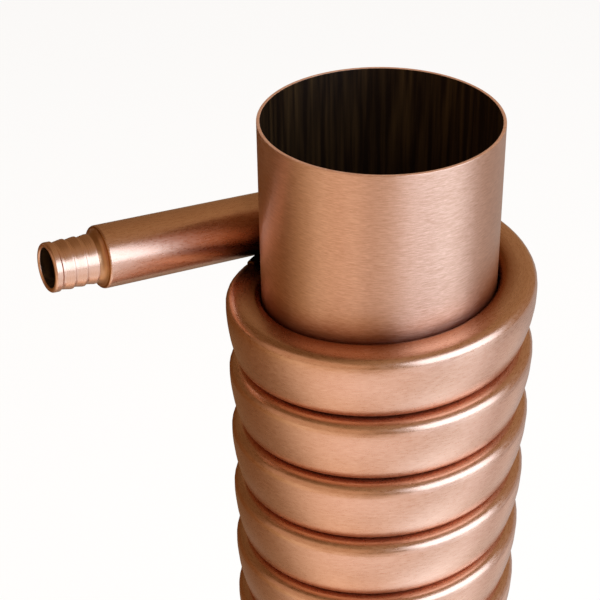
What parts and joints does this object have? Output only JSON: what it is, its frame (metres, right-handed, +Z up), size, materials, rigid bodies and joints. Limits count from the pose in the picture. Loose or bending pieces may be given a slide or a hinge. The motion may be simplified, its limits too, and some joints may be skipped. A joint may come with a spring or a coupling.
{
  "type": "drain-water heat recovery pipe",
  "caption": "Vertical copper drain pipe with a flattened copper tube wound tightly round it, whose straight ends carry barbed adapters for flexible water pipe.",
  "frame": {"origin": "pipe's axis, at the plane of the lower mouth, on which the pipe stands", "axes": "+Z up along the pipe's axis; both legs point along -X, the upper leg on the +Y side of the pipe and the lower leg on the -Y side"},
  "size_m": [0.2049, 0.1624, 0.762],
  "materials": {
    "brushed_copper": "copper, brushed round the pipe to a satin sheen",
    "drawn_copper": "copper, as drawn and wound, satin",
    "turned_copper": "copper, machined bright",
    "braze": "copper-phosphorus brazing alloy, browned by heat"
  },
  "bodies": {
    "root": {"drain_pipe": "brushed_copper", "coil": "drawn_copper", "upper_leg": "drawn_copper", "lower_leg": "drawn_copper", "upper_barb": "turned_copper", "lower_barb": "turned_copper", "upper_barb_braze": "braze", "lower_barb_braze": "braze", "upper_tack": "braze", "lower_tack": "braze"}
  },
  "joints": []
}
